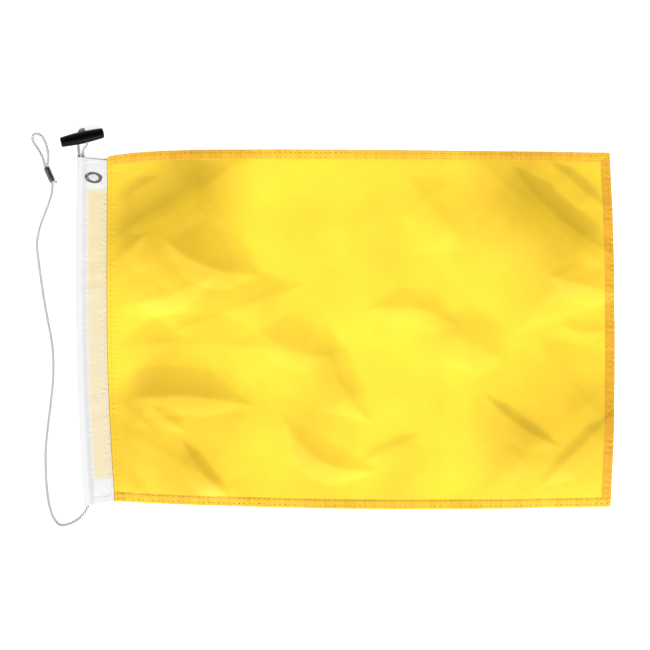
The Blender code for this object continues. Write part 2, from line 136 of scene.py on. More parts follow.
BECKET_BACK = (
    (-0.2170, 0.1625, 0.0070), (-0.2185, 0.1625, 0.0055), (-0.2200, 0.1620, 0.0040),
    (-0.2210, 0.1605, 0.0027), (-0.2215, 0.1585, 0.0019), (-0.2220, 0.1555, 0.0015),
    (-0.2220, 0.1510, 0.0015), (-0.2220, 0.1465, 0.0016), (-0.2215, 0.1425, 0.0020))
BECKET_INSIDE_BACK = ((-0.2215, 0.1400, 0.0022), (-0.2215, 0.1375, 0.0022))
HALYARD_SPLIT_Y = 0.1080
# Inside the ferrule: how far each strand is off its middle line, and how far it is straight past it
STRAND_OFFSET = 0.00105
STRAND_PAST = 0.0006
# Steps to the cut end of the rope, from where it leaves the ferrule
CORD_STUB = (Vector((0.0015, -0.0010, 0.0)), Vector((0.0030, -0.0016, 0.0)))
# The toggle's loop is this much thinner than the rope
BECKET_SLIMMING = 0.96


# ---- camera

def build_camera():
    """Straight down, from far enough away that the flag shows almost no perspective."""
    view_centre = (-0.0109, -0.0044)
    view_width = 0.557
    data = bpy.data.cameras.new("camera")
    data.lens = 100.0
    data.sensor_width = 36.0
    data.dof.use_dof = False
    camera = bpy.data.objects.new("camera", data)
    camera.location = (*view_centre, view_width * data.lens / data.sensor_width)
    bpy.context.scene.collection.objects.link(camera)
    bpy.context.scene.camera = camera


build_camera()


# ---- helpers

def smooth(t):
    t = np.clip(t, 0.0, 1.0)
    return t * t * (3 - 2 * t)


def mesh_piece(name, verts, faces, finish, uvs=None):
    """A smooth-shaded mesh object from points and faces, with an optional UV for each point."""
    mesh = bpy.data.meshes.new(name)
    mesh.from_pydata(np.asarray(verts).tolist(), [], faces)
    mesh.shade_smooth()
    if uvs is not None:
        layer = mesh.uv_layers.new(name="cloth")
        corners = np.zeros(len(mesh.loops), dtype=np.int32)
        mesh.loops.foreach_get("vertex_index", corners)
        layer.data.foreach_set("uv", np.asarray(uvs, dtype=np.float32)[corners].ravel())
    mesh.materials.append(finish)
    obj = bpy.data.objects.new(name, mesh)
    bpy.context.scene.collection.objects.link(obj)
    return obj


def point_values(obj, name, values):
    attribute = obj.data.attributes.new(name, "FLOAT", "POINT")
    attribute.data.foreach_set("value", np.asarray(values, dtype=np.float32))


def grid_faces(rows, columns, closed=False, offset=0, flip=False):
    """Quads of a grid of points, row by row; closed joins the last column to the first."""
    faces = []
    for i in range(rows - 1):
        for j in range(columns if closed else columns - 1):
            a = offset + i * columns + j
            b = offset + i * columns + (j + 1) % columns
            quad = (a, b, b + columns, a + columns)
            faces.append(quad[::-1] if flip else quad)
    return faces


def tube_faces(rings, around, offset=0):
    """Quads of a tube of rings of points, and a face that closes each of its ends."""
    last = offset + (rings - 1) * around
    return [*grid_faces(rings, around, closed=True, offset=offset),
            tuple(offset + k for k in reversed(range(around))),
            tuple(last + k for k in range(around))]


def turns(count):
    return [2 * math.pi * k / count for k in range(count)]


CURVE_STEPS = 20


def smooth_route(points, spacing):
    """Evenly spaced places on a smooth curve through the points."""
    points = np.asarray(points, float)
    ends = np.vstack([2 * points[0] - points[1], points, 2 * points[-1] - points[-2]])
    fine = [points[0]]
    for before, start, end, after in zip(ends, ends[1:], ends[2:], ends[3:]):
        for t in np.linspace(0, 1, CURVE_STEPS + 1)[1:]:
            fine.append(0.5 * (2 * start + (end - before) * t
                               + (2 * before - 5 * start + 4 * end - after) * t ** 2
                               + (3 * start - before - 3 * end + after) * t ** 3))
    fine = np.array(fine)
    run = path_run(fine)
    places = np.linspace(0, run[-1], int(round(run[-1] / spacing)) + 1)
    return np.column_stack([np.interp(places, run, fine[:, k]) for k in range(3)])


def path_run(path):
    """Length along a path up to each of its points."""
    return np.concatenate([[0.0], np.cumsum(np.linalg.norm(np.diff(path, axis=0), axis=1))])


# ---- materials

def set_inputs(node, **values):
    for socket, value in values.items():
        node.inputs[socket.replace("_", " ")].default_value = value


def new_material(name, colour, roughness, **inputs):
    """A Principled material; the extra inputs are set on the shader's own sockets."""
    made = bpy.data.materials.new(name)
    made.use_nodes = True
    shader = made.node_tree.nodes["Principled BSDF"]
    set_inputs(shader, Base_Color=(*colour, 1.0), Roughness=roughness, **inputs)
    return made, made.node_tree, shader


def math_node(tree, operation, *values):
    node = tree.nodes.new("ShaderNodeMath")
    node.operation = operation
    for socket, value in zip(node.inputs, values):
        if isinstance(value, (int, float)):
            socket.default_value = value
        else:
            tree.links.new(value, socket)
    return node.outputs[0]


def add(tree, a, b):
    return math_node(tree, "ADD", a, b)


def subtract(tree, a, b):
    return math_node(tree, "SUBTRACT", a, b)


def multiply(tree, a, b):
    return math_node(tree, "MULTIPLY", a, b)


def noise_value(tree, vector, scale, detail=3.0, roughness=0.5):
    noise = tree.nodes.new("ShaderNodeTexNoise")
    set_inputs(noise, Scale=scale, Detail=detail, Roughness=roughness)
    tree.links.new(vector, noise.inputs["Vector"])
    return noise.outputs["Fac"]


def weave_height(tree, vector, pitch):
    """A plain weave: threads that pass over and under each other, one crossing per pitch."""
    separate = tree.nodes.new("ShaderNodeSeparateXYZ")
    tree.links.new(vector, separate.inputs[0])
    turn = math.pi / pitch
    warp = math_node(tree, "SINE", multiply(tree, separate.outputs[0], turn))
    weft = math_node(tree, "SINE", multiply(tree, separate.outputs[1], turn))
    return multiply(tree, warp, weft)


def colour_ramp(tree, factor, *stops):
    ramp = tree.nodes.new("ShaderNodeValToRGB")
    elements = ramp.color_ramp.elements
    while len(elements) < len(stops):
        elements.new(0.5)
    for element, (position, colour) in zip(elements, stops):
        element.position = position
        element.color = (*colour, 1.0)
    tree.links.new(factor, ramp.inputs["Fac"])
    return ramp.outputs["Color"]


def value_range(tree, factor, low, high):
    spread = tree.nodes.new("ShaderNodeMapRange")
    set_inputs(spread, To_Min=low, To_Max=high)
    tree.links.new(factor, spread.inputs["Value"])
    return spread.outputs["Result"]


def add_bump(tree, height, shader, distance, strength=1.0):
    node = tree.nodes.new("ShaderNodeBump")
    set_inputs(node, Strength=strength, Distance=distance)
    tree.links.new(height, node.inputs["Height"])
    tree.links.new(node.outputs["Normal"], shader.inputs["Normal"])


def cloth_place(tree):
    """Place on the flat cloth, in metres."""
    node = tree.nodes.new("ShaderNodeUVMap")
    node.uv_map = "cloth"
    return node.outputs["UV"]


def object_place(tree):
    return tree.nodes.new("ShaderNodeTexCoord").outputs["Object"]


def point_value(tree, name):
    node = tree.nodes.new("ShaderNodeAttribute")
    node.attribute_name = name
    return node.outputs["Fac"]


# Pitch of the threads in the two cloths, and how far they stand up
NYLON_PITCH = 0.00045
NYLON_DEPTH = 0.00002
TAPE_PITCH = 0.0006
TAPE_DEPTH = 0.00005
# How uneven the nylon's tone is, and how much lighter its palest tone is than its own; painted light
# where the cloth lies close on the floor reaches towards that palest tone
CLOUDINESS = 0.22
PALEST = 1.32


def nylon_material(name, light, deep, translucent):
    """Thin glossy nylon: fine weave and slubs, with painted light where it lies close on the floor and
    painted shade where it stands off.
    """
    made, tree, shader = new_material(name, light, 0.42, Sheen_Weight=0.10, Sheen_Roughness=0.4,
                                      Specular_IOR_Level=0.35)
    place = cloth_place(tree)
    # Painted light and shade, a tone for each point: paler where the cloth lies close on the floor,
    # darker where it stands off
    painted_light_and_shade = point_value(tree, "painted_light_and_shade")
    cloud = subtract(tree, noise_value(tree, place, 26.0, 4.0, 0.55), 0.5)
    tone = add(tree, multiply(tree, cloud, CLOUDINESS), painted_light_and_shade)
    shade = add(tree, multiply(tree, tone, -1.0), 0.5)
    bright = tuple(min(1.0, PALEST * c) for c in light)
    # The ramp turns the random cloudiness and the painted light and shade into colour
    colour = colour_ramp(tree, shade, (0.18, bright), (0.5, light), (0.95, deep))
    tree.links.new(colour, shader.inputs["Base Color"])
    tree.links.new(value_range(tree, noise_value(tree, place, 90.0), 0.36, 0.50),
                   shader.inputs["Roughness"])
    slub = multiply(tree, noise_value(tree, place, 900.0, 2.0), 0.6)
    height = add(tree, weave_height(tree, place, NYLON_PITCH), slub)
    add_bump(tree, height, shader, NYLON_DEPTH, 0.35)
    through = tree.nodes.new("ShaderNodeBsdfTranslucent")
    tree.links.new(colour, through.inputs["Color"])
    mixed = tree.nodes.new("ShaderNodeMixShader")
    set_inputs(mixed, Fac=translucent)
    tree.links.new(shader.outputs["BSDF"], mixed.inputs[1])
    tree.links.new(through.outputs["BSDF"], mixed.inputs[2])
    tree.links.new(mixed.outputs["Shader"], tree.nodes["Material Output"].inputs["Surface"])
    return made


def thread_material(name, colour, dark):
    made, tree, shader = new_material(name, colour, 0.55, Sheen_Weight=0.2)
    fibre = noise_value(tree, object_place(tree), 1500.0, 2.0)
    tree.links.new(colour_ramp(tree, fibre, (0.3, dark), (0.65, colour)), shader.inputs["Base Color"])
    add_bump(tree, fibre, shader, 0.00004, 0.6)
    return made


# Painted shade towards the outline of the cord and of the tape: how fast it falls, and how deep it goes
# on each
LIMB_POWER = 2.5
CORD_LIMB = 0.50
TAPE_LIMB = 0.75


def painted_edge_shade(tree, darkening):
    """Painted shade: 1 where the surface faces the eye, falling towards its outline, where it darkens
    the colour.
    """
    weight = tree.nodes.new("ShaderNodeLayerWeight")
    set_inputs(weight, Blend=0.5)
    edge = math_node(tree, "POWER", weight.outputs["Facing"], LIMB_POWER)
    return subtract(tree, 1.0, multiply(tree, edge, darkening))


def cord_material():
    """White polyester filaments, with painted shade: near black in the gaps between the strands of the
    braid, and greyer towards the outline.
    """
    made, tree, shader = new_material("braided_cord", (0.80, 0.80, 0.79), 0.6, Sheen_Weight=0.25)
    stretch = tree.nodes.new("ShaderNodeMapping")
    set_inputs(stretch, Scale=(6000.0, 300.0, 1.0))
    tree.links.new(cloth_place(tree), stretch.inputs["Vector"])
    filament = noise_value(tree, stretch.outputs["Vector"], 1.0, 3.0, 0.6)
    # Painted shade: where the crown is low, deep between the strands, the ramp paints the colour down
    # to near black
    crown = multiply(tree, point_value(tree, "crown"), value_range(tree, filament, 0.75, 1.15))
    crown = multiply(tree, crown, painted_edge_shade(tree, CORD_LIMB))
    colour = colour_ramp(tree, crown, (0.20, (0.02, 0.02, 0.015)), (0.45, (0.50, 0.50, 0.47)),
                         (0.75, (0.95, 0.95, 0.94)))
    tree.links.new(colour, shader.inputs["Base Color"])
    add_bump(tree, filament, shader, 0.00006, 0.7)
    return made


# The stamped oval: its middle and reach on the tape, its line in shares of that reach, its ink
MARK_PLACE = (0.0150, 0.0168)
MARK_REACH = (0.0070, 0.0045)
MARK_LINE = 0.86
MARK_HALF_WIDTH = 0.38
MARK_RAGGED = 0.30
MARK_INKING = 0.90
MARK_INSIDE = 0.14
MARK_INK = (0.035, 0.024, 0.020)


def canvas_material():
    """White woven tape: the yellow between its plies shows through, it has a stamped oval, and painted
    shade darkens it towards its outline.
    """
    made, tree, shader = new_material("heading_canvas", (0.82, 0.82, 0.82), 0.8, Sheen_Weight=0.2)
    place = cloth_place(tree)
    cloud = noise_value(tree, place, 60.0, 3.0)
    clouded = add(tree, multiply(tree, cloud, 0.5), 0.75)
    uneven = multiply(tree, point_value(tree, "show_through"), clouded)
    base = colour_ramp(tree, uneven, (0.0, (0.70, 0.705, 0.71)), (1.0, (0.72, 0.61, 0.36)))
    # Painted shade: the tape's colour is darkened towards its outline
    edged = tree.nodes.new("ShaderNodeVectorMath")
    edged.operation = "SCALE"
    tree.links.new(base, edged.inputs[0])
    tree.links.new(painted_edge_shade(tree, TAPE_LIMB), edged.inputs["Scale"])

    separate = tree.nodes.new("ShaderNodeSeparateXYZ")
    tree.links.new(place, separate.inputs[0])
    offsets = []
    for output, middle, reach in zip(separate.outputs[:2], MARK_PLACE, MARK_REACH):
        offset = math_node(tree, "DIVIDE", subtract(tree, output, middle), reach)
        offsets.append(math_node(tree, "POWER", math_node(tree, "ABSOLUTE", offset), 2.0))
    ring = math_node(tree, "SQRT", add(tree, *offsets))
    away = math_node(tree, "ABSOLUTE", subtract(tree, ring, MARK_LINE))
    ragged = multiply(tree, noise_value(tree, place, 350.0, 3.0), MARK_RAGGED)
    inked = math_node(tree, "LESS_THAN", add(tree, away, ragged), MARK_HALF_WIDTH)
    inside = multiply(tree, math_node(tree, "LESS_THAN", ring, MARK_LINE), MARK_INSIDE)
    mix = tree.nodes.new("ShaderNodeMix")
    mix.data_type = "RGBA"
    stain = math_node(tree, "MAXIMUM", multiply(tree, inked, MARK_INKING), inside)
    tree.links.new(stain, mix.inputs["Factor"])
    tree.links.new(edged.outputs["Vector"], mix.inputs["A"])
    set_inputs(mix, B=(*MARK_INK, 1.0))
    tree.links.new(mix.outputs["Result"], shader.inputs["Base Color"])

    weave = weave_height(tree, place, TAPE_PITCH)
    height = add(tree, weave, multiply(tree, noise_value(tree, place, 700.0, 2.0), 0.5))
    add_bump(tree, height, shader, TAPE_DEPTH, 0.5)
    return made


def toggle_material():
    made, tree, shader = new_material("toggle_black", (0.0015, 0.0015, 0.0018), 0.22,
                                      Specular_IOR_Level=0.10)
    place = object_place(tree)
    tree.links.new(value_range(tree, noise_value(tree, place, 700.0, 5.0, 0.6), 0.16, 0.34),
                   shader.inputs["Roughness"])
    add_bump(tree, noise_value(tree, place, 260.0, 2.0), shader, 0.00005, 0.25)
    return made


def metal_material():
    made, tree, shader = new_material("plated_metal", (0.30, 0.30, 0.31), 0.22, Metallic=1.0)
    marks = noise_value(tree, object_place(tree), 900.0, 4.0, 0.6)
    tree.links.new(value_range(tree, marks, 0.16, 0.34), shader.inputs["Roughness"])
    add_bump(tree, marks, shader, 0.00003, 0.3)
    return made


# Each nylon's own colour and a deeper one; the ramp reaches the deeper one by random cloudiness and by
# painted shade where the cloth stands off the floor
YELLOW = (0.90, 0.640, 0.042)
YELLOW_DEEP = (0.62, 0.415, 0.014)
ORANGE = (0.88, 0.485, 0.034)
ORANGE_DEEP = (0.74, 0.37, 0.024)
FIELD_NYLON = nylon_material("field_nylon", YELLOW, YELLOW_DEEP, 0.22)
HEM_NYLON = nylon_material("hem_nylon", ORANGE, ORANGE_DEEP, 0.10)
HEM_THREAD = thread_material("hem_thread", (0.80, 0.43, 0.04), (0.58, 0.28, 0.02))
HEADING_THREAD = thread_material("heading_thread", (0.76, 0.76, 0.75), (0.60, 0.60, 0.59))
CANVAS = canvas_material()
CORD = cord_material()
TOGGLE_BLACK = toggle_material()
METAL = metal_material()


# ---- cords

BRAID_STRANDS = 8
BRAID_LAY = 0.0128
STRAND_SIDES = 6
# The braid, in shares of the cord's radius
BRAID_CORE = 0.70
BRAID_WEAVE = 0.15
STRAND_THICK = 0.21
STRAND_WIDE = 0.32
# Where the painted shade between the strands begins, and how far it ramps up
CROWN_START = 0.74
CROWN_RAMP = 0.20
# Steps along the cords, and from one strand's filaments to the next one's
HALYARD_SPACING = 0.00055
BECKET_SPACING = 0.0005
FILAMENT_STEP = 0.0003


def cord_frames(route):
    """Two directions across the route at each point, turning as little as possible."""
    ahead = np.gradient(route, axis=0)
    ahead /= np.linalg.norm(ahead, axis=1)[:, None]
    side = np.cross((0.0, 0.0, 1.0), ahead[0])
    sides = []
    for direction in ahead:
        side = side - direction * side.dot(direction)
        side = side / np.linalg.norm(side)
        sides.append(side)
    sides = np.array(sides)
    return sides, np.cross(ahead, sides)


def braid_points(route, radii):
    """An eight-plait cord as strand, side and place: half the strands wind each way round a core."""
    sides, ups = cord_frames(route)
    run = path_run(route)
    radii = radii[:, None]
    half = BRAID_STRANDS // 2
    strands = []
    for strand in range(BRAID_STRANDS):
        way = 1 if strand < half else -1
        angle = (2 * math.pi * (strand % half) / half + way * 2 * math.pi * run / BRAID_LAY)[:, None]
        out = np.cos(angle) * sides + np.sin(angle) * ups
        across = -np.sin(angle) * sides + np.cos(angle) * ups
        over_under = way * np.cos(half * angle)
        centre = route + out * radii * (BRAID_CORE + BRAID_WEAVE * over_under)
        for turn in turns(STRAND_SIDES):
            strands.append(centre + out * radii * STRAND_THICK * math.cos(turn)
                           + across * radii * STRAND_WIDE * math.sin(turn))
    for turn in turns(STRAND_SIDES):
        strands.append(route + radii * BRAID_CORE * (sides * math.cos(turn) + ups * math.sin(turn)))
    return np.stack(strands).reshape(BRAID_STRANDS + 1, STRAND_SIDES, len(run), 3)


def braid_piece(name, points, run):
    """The mesh of a braided cord over the given places along it."""
    strands, around, places = points.shape[:3]
    faces, uvs = [], []
    for strand in range(strands):
        offset = strand * around * places
        faces += grid_faces(around, places, offset=offset)
        last = offset + (around - 1) * places
        faces += [(last + i, last + i + 1, offset + i + 1, offset + i) for i in range(places - 1)]
        faces.append(tuple(offset + k * places for k in range(around)))
        faces.append(tuple(offset + (k + 1) * places - 1 for k in reversed(range(around))))
        for k in range(around):
            filament = (k + (STRAND_SIDES + 1) * strand) * FILAMENT_STEP
            uvs.append(np.column_stack([np.full(places, filament), run]))
    piece = mesh_piece(name, points.reshape(-1, 3), faces, CORD, np.concatenate(uvs))
    # The crown: how far out each point lies, for the painted shade between the strands
    from_middle = np.linalg.norm(points - points.mean(axis=(0, 1)), axis=-1)
    point_values(piece, "crown", smooth((from_middle / CORD_R - CROWN_START) / CROWN_RAMP).ravel())
    return piece


def eye_strand(side):
    """Bottom, middle and top places of one strand inside the eye's ferrule."""
    along = Vector((-math.sin(EYE_FERRULE_ANGLE), math.cos(EYE_FERRULE_ANGLE), 0.0))
    across = Vector((math.cos(EYE_FERRULE_ANGLE), math.sin(EYE_FERRULE_ANGLE), 0.0))
    reach = FERRULE_LENGTH / 2 + STRAND_PAST
    return [EYE_FERRULE + across * side * STRAND_OFFSET + along * reach * end for end in (-1, 0, 1)]


def halyard_route():
    """From inside the foot of the sleeve, up the tail, round the eye and just past its ferrule."""
    own_end = eye_strand(1)
    points = [TAIL_INSIDE, *TAIL_ROOT_ROUTE, *TAIL_ROUTE, *eye_strand(-1), *reversed(EYE_ROUTE),
              *reversed(own_end), *(own_end[0] + step for step in CORD_STUB)]
    return smooth_route(points, HALYARD_SPACING)


def hole_places():
    """Places on the middle line of the toggle's rope hole, from its near mouth to its far one."""
    length_axis = Vector((math.cos(TOGGLE_TURN) * math.cos(TOGGLE_TILT),
                          math.sin(TOGGLE_TURN) * math.cos(TOGGLE_TILT), -math.sin(TOGGLE_TILT)))
    hole_axis = Vector((-math.sin(TOGGLE_TURN), math.cos(TOGGLE_TURN), 0.0))
    middle = TOGGLE_CENTRE + length_axis * TOGGLE_HOLE_OFFSET
    return [middle + hole_axis * reach for reach in (-TOGGLE_HOLE_REACH, 0.0, TOGGLE_HOLE_REACH)]


def build_halyard():
    """The free rope and the eye at its end: one braid, cut into two pieces before the eye turns."""
    route = halyard_route()
    run = path_run(route)
    radii = np.full(len(route), CORD_R)
    for k, place in enumerate(route):
        offset = Vector(place) - EYE_FERRULE
        along = -math.sin(EYE_FERRULE_ANGLE) * offset.x + math.cos(EYE_FERRULE_ANGLE) * offset.y
        if offset.length < PRESSED_REACH:
            inside = smooth((FERRULE_LENGTH / 2 + PRESSED_RAMP - abs(along)) / PRESSED_RAMP)
            radii[k] -= (CORD_R - PRESSED_RADIUS) * inside
    points = braid_points(route, radii)
    split = int(np.argmax(route[:, 1] > HALYARD_SPLIT_Y))
    tail = braid_piece("tail_cord", points[:, :, :split + 1], run[:split + 1])
    eye = braid_piece("eye_cord", points[:, :, split:], run[split:])
    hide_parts("tail_root", "tail_rope")
    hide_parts("eye_rope")
    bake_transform(tail)
    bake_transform(eye)
    return tail, route[:split + 1], eye, route[split:]


def build_becket():
    """The loop through the toggle's hole, with both its ends inside the heading."""
    route = smooth_route([*BECKET_INSIDE_FRONT, *BECKET_FRONT, *hole_places(), *BECKET_BACK,
                          *BECKET_INSIDE_BACK], BECKET_SPACING)
    run = path_run(route)
    points = braid_points(route, np.full(len(route), CORD_R * BECKET_SLIMMING))
    piece = braid_piece("becket_cord", points, run)
    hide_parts("becket")
    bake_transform(piece)
    return piece, route


def ferrule_ring(along, scale, wall, around):
    """Points round the ferrule at one place along it, a wall's thickness in from its outside."""
    points = []
    for turn in np.linspace(0, 2 * math.pi, around, endpoint=False):
        widening = math.copysign(abs(math.cos(turn)) ** OVAL_POWER, math.cos(turn))
        points.append((widening * (FERRULE_WIDTH / 2 - wall), along,
                       math.sin(turn) * (FERRULE_HEIGHT / 2 - wall) * scale))
    return points


def build_eye_ferrule():
    """An oval crimped sleeve, open through, with three pressed dents and rolled lips."""
    rows, around = 40, 36
    outer, inner = [], []
    for row in np.linspace(-1, 1, rows):
        along = row * FERRULE_LENGTH / 2
        dent = sum(math.exp(-((along - place) / DENT_REACH) ** 2) for place in DENT_PLACES)
        lip = math.exp(-((1 - abs(row)) * FERRULE_LENGTH / LIP_REACH) ** 2)
        scale = 1.0 - DENT_DEPTH * dent + LIP_HEIGHT * lip
        outer.append(ferrule_ring(along, scale, 0.0, around))
        inner.append(ferrule_ring(along, scale, FERRULE_WALL, around))
    loop = np.concatenate([np.array(outer), np.array(inner)[::-1]])
    faces = grid_faces(len(loop), around, closed=True)
    last = (len(loop) - 1) * around
    faces += [(last + j, last + (j + 1) % around, (j + 1) % around, j) for j in range(around)]
    piece = mesh_piece("eye_ferrule_sleeve", loop.reshape(-1, 3), faces, METAL)
    piece.matrix_world = Matrix.Translation(EYE_FERRULE) @ Matrix.Rotation(EYE_FERRULE_ANGLE, 4, "Z")
    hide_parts("eye_ferrule")
    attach(piece, "eye")
    return piece


tail_cord, tail_route, eye_cord, eye_route = build_halyard()
becket_cord, becket_route = build_becket()
eye_ferrule = build_eye_ferrule()


# ---- plan of the flag

def bowed(start, end, outward, bow, skew, t):
    """Places on an edge that bows outward; a skew below 1 puts the fullest place near its start."""
    t = np.asarray(t, float)
    chord = start + (end - start) * t[..., None]
    return chord + np.array(outward, float) * (bow * np.sin(np.pi * t ** skew))[..., None]


def head_edge(t):
    return bowed(HEAD_HOIST, HEAD_FLY, (0, 1), HEAD_BOW, 0.5, t)


def fly_edge(t):
    return bowed(HEAD_FLY, FOOT_FLY, (1, 0), FLY_BOW, 1.0, t)


def foot_edge(t):
    return bowed(FOOT_HOIST, FOOT_FLY, (0, -1), FOOT_BOW, 1.0, t)


def hoist_edge(t):
    return bowed(HEAD_HOIST, FOOT_HOIST, (-1, 0), HOIST_BOW, 1.2, t)


def hoist_x(y):
    t = (HEAD_HOIST[1] - np.asarray(y)) / (HEAD_HOIST[1] - FOOT_HOIST[1])
    return hoist_edge(np.clip(t, 0, 1))[..., 0]


def plan(s, t):
    """A place on the field: s from the hoist to the fly, t from the head to the foot."""
    a, b = s[..., None], t[..., None]
    corners = ((1 - a) * (1 - b) * HEAD_HOIST + a * (1 - b) * HEAD_FLY
               + (1 - a) * b * FOOT_HOIST + a * b * FOOT_FLY)
    return ((1 - b) * head_edge(s) + b * foot_edge(s)
            + (1 - a) * hoist_edge(t) + a * fly_edge(t) - corners)


# ---- folds of the field

# The cloth's larger folds, laid out in steps of 5 mm and 5 degrees. Each is a ridge: its middle, the
# direction that it runs in, its length, how far its ends bend to the left, the half width of its
# left and right flanks, and its height. Degrees and millimetres.
FOLDS = {
    "head_of_hoist": ((-150, 95), 30, 190, 0, (45, 60), 4.5),
    "head_of_fly": ((180, 85), -40, 200, 0, (50, 55), 4.5),
    "foot_corner_of_hoist": ((-145, -115), -30, 190, 0, (50, 45), 3.5),
    "foot_corner_of_fly": ((185, -95), 40, 190, 0, (45, 50), 3.5),
    "upper_hoist": ((-145, 90), 30, 130, 10, (25, 40), 2.5),
    "hoist_stripe": ((-175, 110), 30, 50, 0, (5, 10), 1.0),
    "hoist_crease": ((-180, 60), 35, 50, 0, (5, 5), 1.3),
    "shoulder": ((-110, 45), -20, 90, 10, (20, 10), 2.2),
    "spindle": ((-150, 20), 15, 95, 5, (15, 10), 1.4),
    "long_spindle": ((-85, 10), 20, 125, 0, (15, 15), 1.6),
    "hoist_bright": ((-125, -20), 0, 150, -5, (15, 35), 2.0),
    "hook_top": ((-40, -25), -20, 70, 5, (15, 10), 1.6),
    "hook_side": ((0, -50), -65, 95, 10, (10, 15), 2.0),
    "hoist_ridge": ((-140, -65), 0, 140, -10, (15, 10), 2.0),
    "short_stroke": ((-175, -80), -40, 40, 0, (5, 5), 1.0),
    "second_stroke": ((-145, -85), -35, 40, 0, (5, 5), 1.0),
    "foot_of_hoist": ((-180, -135), -45, 65, 0, (5, 10), 1.4),
    "foot_second": ((-115, -130), -50, 70, 5, (5, 10), 1.5),
    "crescent": ((-15, -120), -30, 100, 20, (10, 10), 1.6),
    "crescent_tail": ((45, -110), 25, 60, 0, (5, 10), 0.9),
    "soft_arc": ((65, 10), -10, 85, -10, (10, 10), 1.2),
    "soft_patch": ((115, -20), -30, 80, 0, (15, 15), 1.1),
    "triangle": ((85, 90), -50, 85, 0, (20, 15), 1.4),
    "fly_diagonal": ((190, 85), -40, 130, 10, (10, 30), 2.4),
    "fly_stripe": ((205, 115), -40, 65, 0, (5, 10), 1.5),
    "fly_wedge": ((210, 30), -15, 65, 0, (10, 10), 1.5),
    "fly_crease": ((210, -10), -5, 45, 5, (5, 5), 0.6),
    "lower_diagonal": ((155, -90), -35, 85, 5, (5, 10), 1.5),
    "corner_diagonal": ((205, -110), 45, 95, 0, (5, 10), 1.6),
}
# Packing creases: where they run, and the half width and height of each, in millimetres
PACKED_WIDTH = 75
PACKING_CREASES = [10 + PACKED_WIDTH * k for k in (-1, 0, 1, 2)]
PACKING_CREASE = (5, 0.25)
# How many half widths a fold's flank spreads over, and how many half lengths each end tapers over
FLANK = 1.7
TAPER = 0.6
FOLD_STRENGTH = 1.25
# Seed, longest and shortest wavelength, and strength of the random wrinkles
WRINKLES = ((18, 0.060, 0.014, 0.00005), (7, 0.200, 0.070, 0.0006))
SOFTENING = 0.0011
RELIEF_STEP = 0.0010
RELIEF_LOW = np.array((-0.240, -0.210))
RELIEF_SHAPE = (400, 520)


def fold_height(x, y, middle, direction, length, bend, widths, height):
    """Height of one fold: a ridge between two flat flanks that taper to a point at both ends."""
    turn = math.radians(direction)
    dx, dy = x / MM - middle[0], y / MM - middle[1]
    along = (dx * math.cos(turn) + dy * math.sin(turn)) / (length / 2)
    across = dy * math.cos(turn) - dx * math.sin(turn) - bend * along ** 2
    width = np.where(across > 0, widths[0], widths[1])
    taper = np.clip((1 - np.abs(along)) / TAPER, 0, 1)
    return height * MM * np.clip(taper - np.abs(across) / (FLANK * width), 0, 1)


def packing_height(x):
    """Faint straight creases where the flag was folded flat for its packet."""
    width, height = PACKING_CREASE
    return sum(height * MM * np.exp(-((x / MM - crease) / width) ** 2) for crease in PACKING_CREASES)


def frequencies():
    rows, columns = RELIEF_SHAPE
    ky = 2 * np.pi * np.fft.fftfreq(rows, RELIEF_STEP)[:, None]
    kx = 2 * np.pi * np.fft.fftfreq(columns, RELIEF_STEP)[None, :]
    return kx, ky


def blur(values, width):
    kx, ky = frequencies()
    return np.fft.ifft2(np.fft.fft2(values) * np.exp(-(kx ** 2 + ky ** 2) * width ** 2 / 2)).real


def build_relief():
    """Height of the field's cloth over the floor, from its folds, packing creases and wrinkles."""
    rows, columns = RELIEF_SHAPE
    x, y = np.meshgrid(RELIEF_LOW[0] + RELIEF_STEP * np.arange(columns),
                       RELIEF_LOW[1] + RELIEF_STEP * np.arange(rows))
    height = sum(fold_height(x, y, *fold) for fold in FOLDS.values())
    height = blur(FOLD_STRENGTH * height, SOFTENING) + packing_height(x)
    height = height + sum(random_wrinkles(*wrinkles) for wrinkles in WRINKLES)
    return height - height.min()


def random_wrinkles(seed, longest, shortest, strength):
    """Soft random creasing between two wavelengths, as of cloth that has been packed."""
    random = np.random.default_rng(seed).standard_normal(RELIEF_SHAPE)
    kx, ky = frequencies()
    wave = np.hypot(kx, ky) + 1e-9
    low, high = 2 * np.pi / longest, 2 * np.pi / shortest
    band = np.exp(-(low / wave) ** 2 - (wave / high) ** 2) / wave
    wrinkles = np.fft.ifft2(np.fft.fft2(random) * band).real
    return wrinkles * strength / wrinkles.std()


RELIEF = build_relief()


def sample(grid, x, y):
    """The grid's value at each place, between its four nearest points."""
    column = (np.asarray(x) - RELIEF_LOW[0]) / RELIEF_STEP
    row = (np.asarray(y) - RELIEF_LOW[1]) / RELIEF_STEP
    j = np.clip(column.astype(int), 0, RELIEF_SHAPE[1] - 2)
    i = np.clip(row.astype(int), 0, RELIEF_SHAPE[0] - 2)
    a, b = column - j, row - i
    return ((1 - a) * (1 - b) * grid[i, j] + a * (1 - b) * grid[i, j + 1]
            + (1 - a) * b * grid[i + 1, j] + a * b * grid[i + 1, j + 1])


PUCKER_PITCH = 0.0044
PUCKER_HEIGHT = 0.00020
PUCKER_REACH = 0.0045
SEAM_STRIP = 0.0034
SEAM_RAMP = 0.034
SEAM_MARGIN = 0.001
GROOVE_DEPTH = 0.00025
GROOVE_REACH = 0.0005
# The cloth's top lies this high on the floor, and rises by as much again past the hoist seam
CLOTH_TOP = 0.0003
TUCK_RAMP = 0.012
STEP_RAMP = 0.003


def uneven(run, pitch):
    """A wave along a seam whose pitch and strength wander, from -1 to 1."""
    phase = 2 * np.pi * run / pitch
    wander = 0.9 * np.sin(phase / 7.3) + 0.7 * np.sin(phase / 3.1 + 1.0)
    strength = 0.62 + 0.38 * np.sin(phase / 5.7 + 2.0)
    return strength * np.sin(phase + wander)


